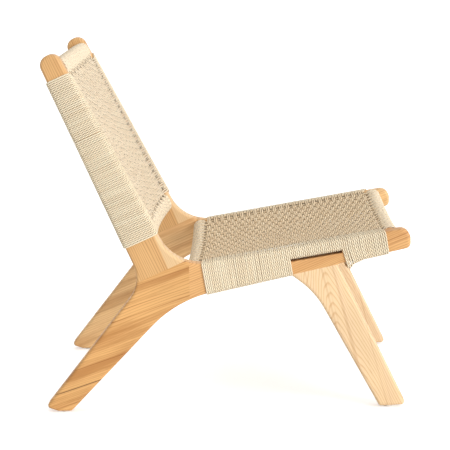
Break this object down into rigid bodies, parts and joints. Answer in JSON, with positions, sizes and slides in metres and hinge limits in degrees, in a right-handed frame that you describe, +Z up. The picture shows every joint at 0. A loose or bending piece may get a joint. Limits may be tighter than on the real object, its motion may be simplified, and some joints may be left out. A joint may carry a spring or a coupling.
{
  "type": "easy chair",
  "caption": "Low easy chair: two flat ash side frames joined by cross rails, with a reclined seat and back of woven paper cord wound round the frames.",
  "frame": {"origin": "on the floor, under the middle of the chair's bounding box", "axes": "+Z is up, the chair faces -Y, and +X is the sitter's left"},
  "size_m": [0.628, 0.762, 0.7503],
  "materials": {
    "frame_wood": "clear matt oil on ash",
    "rail_wood": "plain ash under the cord",
    "dowel_wood": "fluted beech",
    "cord_turns": "twisted paper cord, unbleached",
    "cord_weave": "twisted paper cord, woven",
    "tack_steel": "plain wire nail",
    "glide_plastic": "pale moulded disc"
  },
  "bodies": {
    "root": {"right_rear_leg": "frame_wood", "right_back_post": "frame_wood", "right_post_wing": "frame_wood", "right_seat_rail": "frame_wood", "right_front_leg": "frame_wood", "right_post_dowels": "dowel_wood", "right_elbow_dowels": "dowel_wood", "right_leg_dowels": "dowel_wood", "right_post_wrap": "cord_turns", "right_seat_wrap_rear": "cord_turns", "right_seat_wrap_strip": "cord_turns", "right_seat_wrap_front": "cord_turns", "right_cord_tacks": "tack_steel", "right_rear_leg_glide": "glide_plastic", "right_front_leg_glide": "glide_plastic", "left_rear_leg": "frame_wood", "left_back_post": "frame_wood", "left_post_wing": "frame_wood", "left_seat_rail": "frame_wood", "left_front_leg": "frame_wood", "left_post_dowels": "dowel_wood", "left_elbow_dowels": "dowel_wood", "left_leg_dowels": "dowel_wood", "left_post_wrap": "cord_turns", "left_seat_wrap_rear": "cord_turns", "left_seat_wrap_strip": "cord_turns", "left_seat_wrap_front": "cord_turns", "left_cord_tacks": "tack_steel", "left_rear_leg_glide": "glide_plastic", "left_front_leg_glide": "glide_plastic", "upper_back_rail": "rail_wood", "upper_back_rail_dowels": "dowel_wood", "upper_back_rail_wrap": "cord_turns", "lower_back_rail": "rail_wood", "lower_back_rail_dowels": "dowel_wood", "lower_back_rail_wrap": "cord_turns", "rear_seat_rail": "rail_wood", "rear_seat_rail_dowels": "dowel_wood", "rear_seat_rail_wrap": "cord_turns", "front_seat_rail": "rail_wood", "front_seat_rail_dowels": "dowel_wood", "front_seat_rail_wrap": "cord_turns", "seat_weave": "cord_weave", "back_weave": "cord_weave"}
  },
  "joints": []
}
